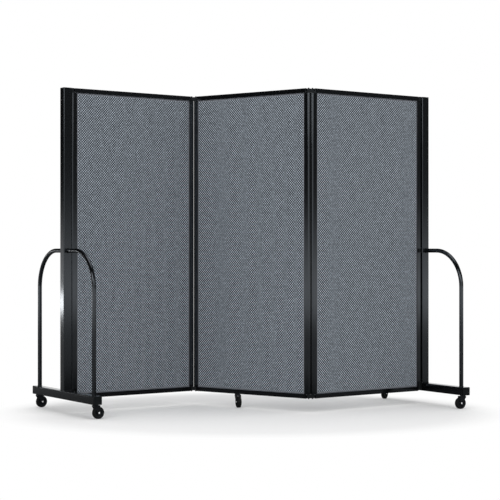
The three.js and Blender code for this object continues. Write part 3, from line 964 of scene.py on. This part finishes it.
casterMeshes = {
    "fork": forkMesh(),
    "crown": crownMesh(),
    "tyre": tyreMesh(),
    "core": coreMesh(),
    "rivet": rivetMesh(),
}
casterNames = {
    "left_front": "left_end_front_caster",
    "left_rear": "left_end_rear_caster",
    "middle": "middle_caster",
    "right_front": "right_end_front_caster",
    "right_rear": "right_end_rear_caster",
}
onAxle = shift(fork["trail"], 0, axleHeight) @ Matrix.Rotation(math.pi / 2, 4, "X")
for short, name in casterNames.items():
    place = placeAt(pins[f"{short}_swivel"], pins[f"{short}_roll"])
    swivel, wheel = f"{short}_caster", f"{short}_wheel"
    addPiece(f"{name}_pressed_fork", casterMeshes["fork"], place, swivel, "fork_coat", f"{name}_fork")
    addPiece(f"{name}_swivel_crown", casterMeshes["crown"], place, swivel, "fork_coat")
    addPiece(f"{name}_rivet", casterMeshes["rivet"], place @ onAxle, swivel, "axle_steel", f"{name}_axle")
    addPiece(f"{name}_tyre", casterMeshes["tyre"], place @ onAxle, wheel, "wheel_rubber", f"{name}_wheel")
    addPiece(f"{name}_core", casterMeshes["core"], place @ onAxle, wheel, "wheel_rubber")
print("casters made")


# Floor, light and camera

stageLook = {
    "floor": "#F4F4F4",
    "floorHalf": 30,
    "grit": 25,  # millimetres between specks of uneven paint
    "gritTone": (0.985, 1.015),
    "oval": (1.0, 1.28, 0.0),  # the painted floor is an oval that reaches further to the front
    "ovalCentre": (0.0, 0.23, 0.0),
    "fade": (1.02, 1.36),
    "nearGlow": (0.5, 3.0, 0.04, 0.23),  # gloss sees the floor dark nearby
    "farGlow": (4.5, 15.0, 0.0, 1.04),  # and white far away
    "dome": 0.78,
    # What gloss sees of the room: between two directions, from one level to another
    "behind": (0.8, 0.97, 0.0, 1.0),  # white backdrop
    "horizon": (-0.035, 0.045, 1.0, 0.0),  # white below it
    "sides": (-0.2, 0.6, 0.01, 0.07),  # dim, a little lighter to the right
    "front": (-0.68, -0.88, 0.0, 0.74),  # lit in front
}


def studioFloor():
    # Painted floor that fades to the plain white background away from the screen, and keeps its shadow
    material, tree, coords = blankMaterial("matt_studio_floor")
    oval = addNode(tree, "VectorMath", {
        0: coords, 1: stageLook["oval"], 2: stageLook["ovalCentre"],
    }, operation="MULTIPLY_ADD")
    ovalReach = addNode(tree, "VectorMath", {0: oval}, operation="LENGTH").outputs["Value"]
    distance = addNode(tree, "VectorMath", {0: coords}, operation="LENGTH").outputs["Value"]
    begin, whole = stageLook["fade"]
    fade = addNode(tree, "MapRange", {
        "Value": ovalReach, "From Min": begin, "From Max": whole,
    }, interpolation_type="SMOOTHSTEP")
    rays = addNode(tree, "LightPath").outputs
    seen = addNode(tree, "Math", {0: fade, 1: rays["Is Camera Ray"]}, operation="MULTIPLY")
    shiny = addNode(tree, "Math", {
        0: rays["Is Glossy Ray"], 1: rays["Is Transmission Ray"],
    }, operation="MAXIMUM")
    white = addNode(tree, "Math", {0: seen, 1: shiny}, operation="MAXIMUM")
    glows = []
    for reach in ("nearGlow", "farGlow"):
        near, far, dim, full = stageLook[reach]
        glows.append(addNode(tree, "MapRange", {
            "Value": distance, "From Min": near, "From Max": far, "To Min": dim, "To Max": full,
        }, interpolation_type="SMOOTHSTEP"))
    glow = addNode(tree, "Math", {0: glows[0], 1: glows[1]}, operation="MAXIMUM")
    level = addNode(tree, "Mix", {0: shiny, 2: 1.0, 3: glow}, data_type="FLOAT")
    grit = addNode(tree, "TexNoise", {"Vector": coords, "Scale": 1000 / stageLook["grit"], "Detail": 4.0})
    low, high = stageLook["gritTone"]
    tone = addNode(tree, "MapRange", {"Value": grit, "To Min": low, "To Max": high})
    plain = hexColour(stageLook["floor"])[:3]
    colour = addNode(tree, "VectorMath", {0: plain, 3: tone}, operation="SCALE")
    paint = addNode(tree, "BsdfDiffuse", {"Color": colour})
    backdrop = addNode(tree, "Emission", {"Color": (1, 1, 1, 1), "Strength": level})
    mixed = addNode(tree, "MixShader", {0: white, 1: paint, 2: backdrop})
    addNode(tree, "OutputMaterial", {"Surface": mixed})
    return material


half = stageLook["floorHalf"]
floorMesh = bpy.data.meshes.new("studio_floor")
corners = [(-half, -half, 0), (half, -half, 0), (half, half, 0), (-half, half, 0)]
floorMesh.from_pydata(corners, [], [(0, 1, 2, 3)])
floorMesh.materials.append(studioFloor())
studioFloorPlane = bpy.data.objects.new("studio_floor", floorMesh)
bpy.context.collection.objects.link(studioFloorPlane)


def studioWorld():
    # Even dome for the light. The camera sees white, and gloss sees a dim room with a white backdrop.
    world = bpy.data.worlds.new("studio_dome")
    bpy.context.scene.world = world
    world.use_nodes = True
    tree = world.node_tree
    tree.nodes.clear()
    rays = addNode(tree, "LightPath").outputs
    direction = addNode(tree, "TexCoord").outputs["Generated"]
    split = addNode(tree, "SeparateXYZ", {0: direction}).outputs
    parts = {}
    for name, axis in (("behind", "Y"), ("horizon", "Z"), ("sides", "X"), ("front", "Y")):
        begin, whole, low, high = stageLook[name]
        parts[name] = addNode(tree, "MapRange", {
            "Value": split[axis], "From Min": begin, "From Max": whole, "To Min": low, "To Max": high,
        }, interpolation_type="SMOOTHSTEP")
    bright = addNode(tree, "Math", {0: parts["behind"], 1: parts["horizon"]}, operation="MAXIMUM")
    room = addNode(tree, "Math", {0: parts["sides"], 1: parts["front"]}, operation="MAXIMUM")
    gloss = addNode(tree, "MapRange", {"Value": bright, "To Min": room, "To Max": 1.0})
    shiny = addNode(tree, "Math", {
        0: rays["Is Glossy Ray"], 1: rays["Is Transmission Ray"],
    }, operation="MAXIMUM")
    soft = addNode(tree, "Mix", {0: shiny, 2: stageLook["dome"], 3: gloss}, data_type="FLOAT")
    level = addNode(tree, "Mix", {0: rays["Is Camera Ray"], 2: soft, 3: 1.0}, data_type="FLOAT")
    sky = addNode(tree, "Background", {"Color": (1, 1, 1, 1), "Strength": level})
    addNode(tree, "OutputWorld", {"Surface": sky})


studioWorld()

lamps = {
    "top_softbox": {"place": (0, -0.2, 4.6), "aim": (0, 0, 0), "size": (4.0, 4.0), "power": 55},
    "front_left_softbox": {"place": (-3.4, -5.2, 3.0), "aim": (0, 0, 0.8), "size": (2.4, 2.4), "power": 50},
    "front_right_softbox": {"place": (3.4, -5.2, 3.0), "aim": (0, 0, 0.8), "size": (2.4, 2.4), "power": 26},
    "low_left_strip": {
        "place": (-4.5, 1.66, 0.41), "aim": (-0.94, -0.23, 0.56), "size": (0.5, 0.16), "power": 1.5,
    },
}
for name, lamp in lamps.items():
    light = bpy.data.lights.new(name, "AREA")
    light.shape = "ELLIPSE"
    light.size, light.size_y = lamp["size"]
    light.energy = lamp["power"]
    holder = bpy.data.objects.new(name, light)
    bpy.context.collection.objects.link(holder)
    holder.location = lamp["place"]
    ray = Vector(lamp["aim"]) - Vector(lamp["place"])
    holder.rotation_euler = ray.to_track_quat("-Z", "Y").to_euler()

view = {"place": (0.0001, -7.381, 0.827), "lens": 101.52, "sensor": 36}
cameraData = bpy.data.cameras.new("camera")
cameraData.lens = view["lens"]
cameraData.sensor_width = view["sensor"]
camera = bpy.data.objects.new("camera", cameraData)
bpy.context.collection.objects.link(camera)
camera.location = view["place"]
camera.rotation_euler = (math.pi / 2, 0, 0)
bpy.context.scene.camera = camera
bpy.context.scene.view_settings.view_transform = "Standard"
print("stage set")
